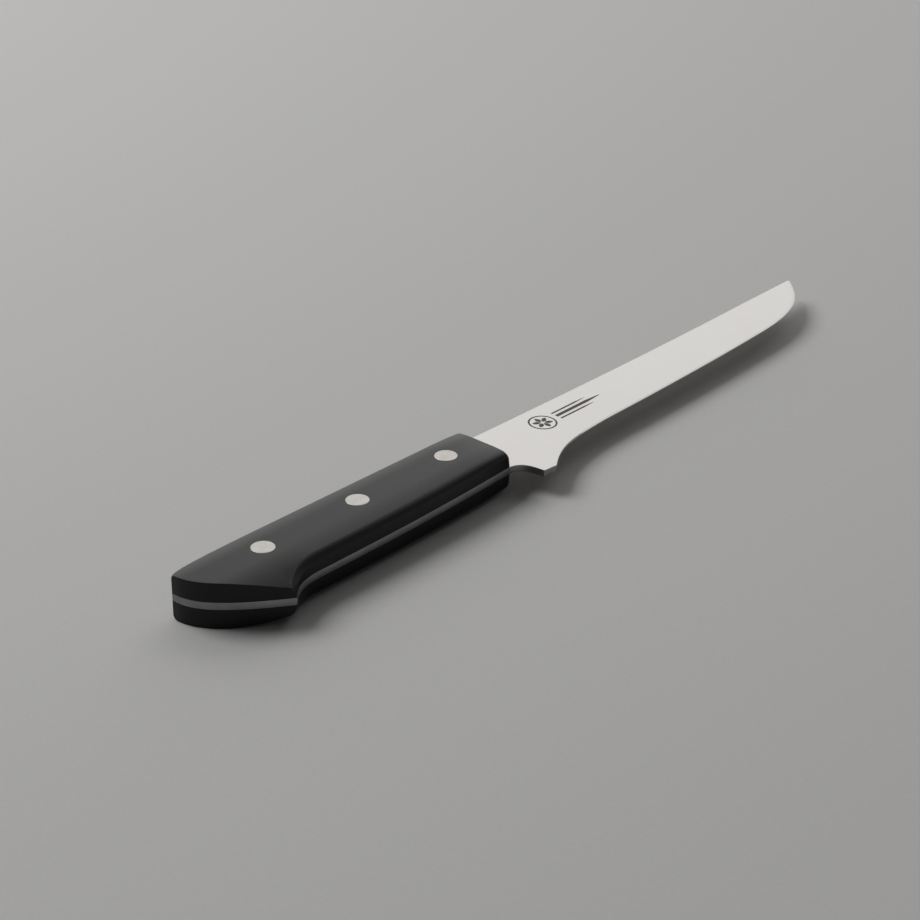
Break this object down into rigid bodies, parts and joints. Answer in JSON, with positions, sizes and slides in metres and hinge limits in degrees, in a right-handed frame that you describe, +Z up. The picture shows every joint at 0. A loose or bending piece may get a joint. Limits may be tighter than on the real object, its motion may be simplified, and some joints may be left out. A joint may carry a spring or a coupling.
{
  "type": "boning knife",
  "caption": "Full-tang boning knife with a narrow blade, a spurred heel and black handle scales held by flush rivets.",
  "frame": {"origin": "under the middle of the bounding box, on the surface that the knife lies on", "axes": "+X from the butt to the tip, +Y from the cutting edge to the spine, +Z up from the left scale to the right scale"},
  "size_m": [0.2872, 0.0318, 0.0142],
  "materials": {
    "blade_steel": "fine satin polish",
    "handle_scale": "satin black",
    "rivet_steel": "ground flush and satin"
  },
  "bodies": {
    "root": {"blade_and_tang": "blade_steel", "right_scale": "handle_scale", "left_scale": "handle_scale", "rear_rivet_male": "rivet_steel", "rear_rivet_female": "rivet_steel", "middle_rivet_male": "rivet_steel", "middle_rivet_female": "rivet_steel", "front_rivet_male": "rivet_steel", "front_rivet_female": "rivet_steel"}
  },
  "joints": []
}
